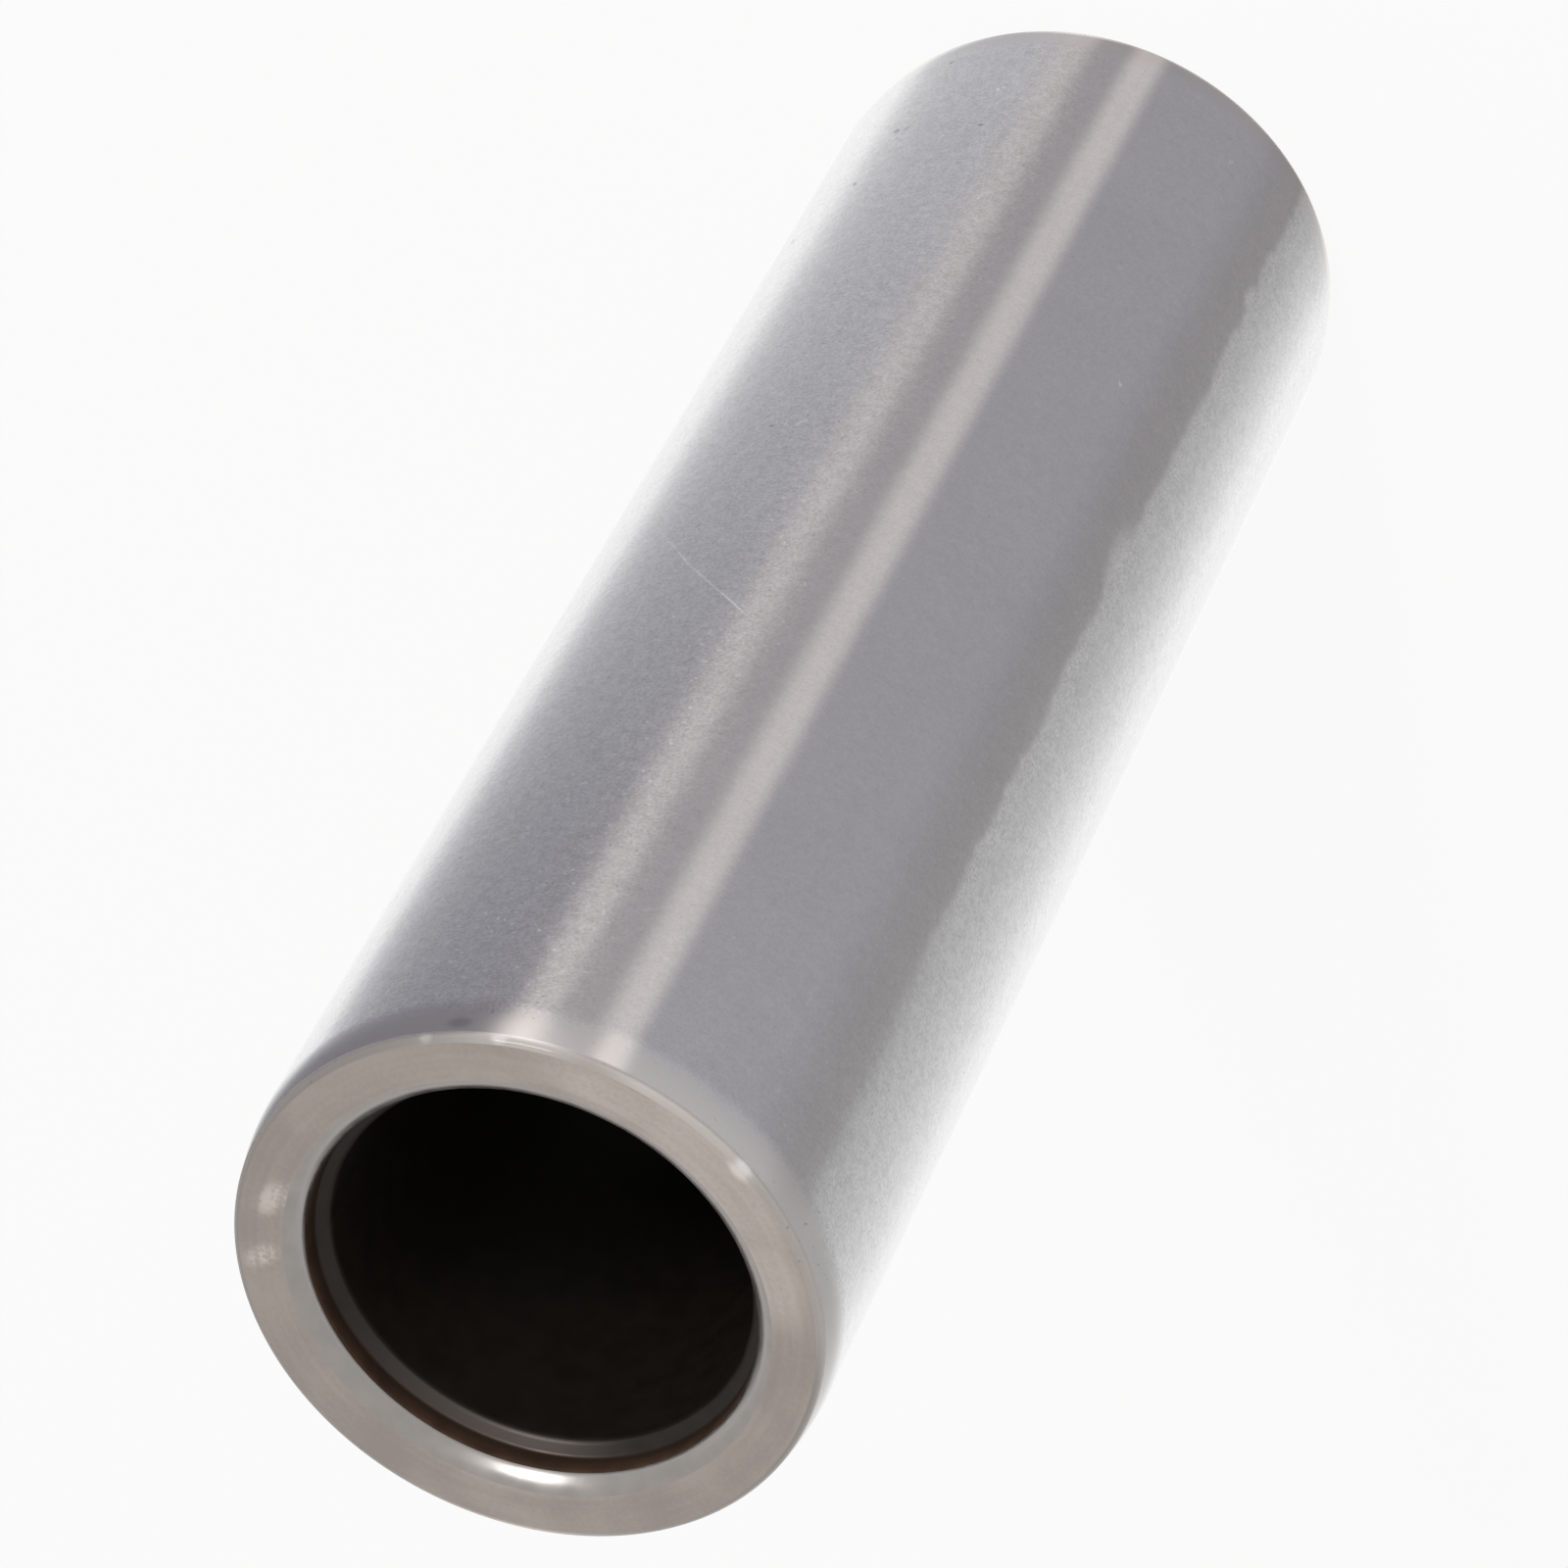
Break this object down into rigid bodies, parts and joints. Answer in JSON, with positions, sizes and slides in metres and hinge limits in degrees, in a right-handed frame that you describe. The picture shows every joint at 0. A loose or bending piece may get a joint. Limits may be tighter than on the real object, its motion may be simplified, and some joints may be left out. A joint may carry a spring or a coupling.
{
  "type": "gudgeon pin",
  "caption": "Hollow cylindrical steel gudgeon pin with a ground outside, tapered lead-in edges and a counterbored through bore, joining a piston to its connecting rod.",
  "frame": {"origin": "centre of the bottom end face, on the pin's axis", "axes": "+Z along the pin's axis, from the bottom end face to the top one; the pin stands on its end"},
  "size_m": [0.01, 0.01, 0.033],
  "materials": {
    "ground_steel": "satin ground outside, turned end faces, dark bore"
  },
  "bodies": {
    "root": {"gudgeon_pin": "ground_steel"}
  },
  "joints": []
}
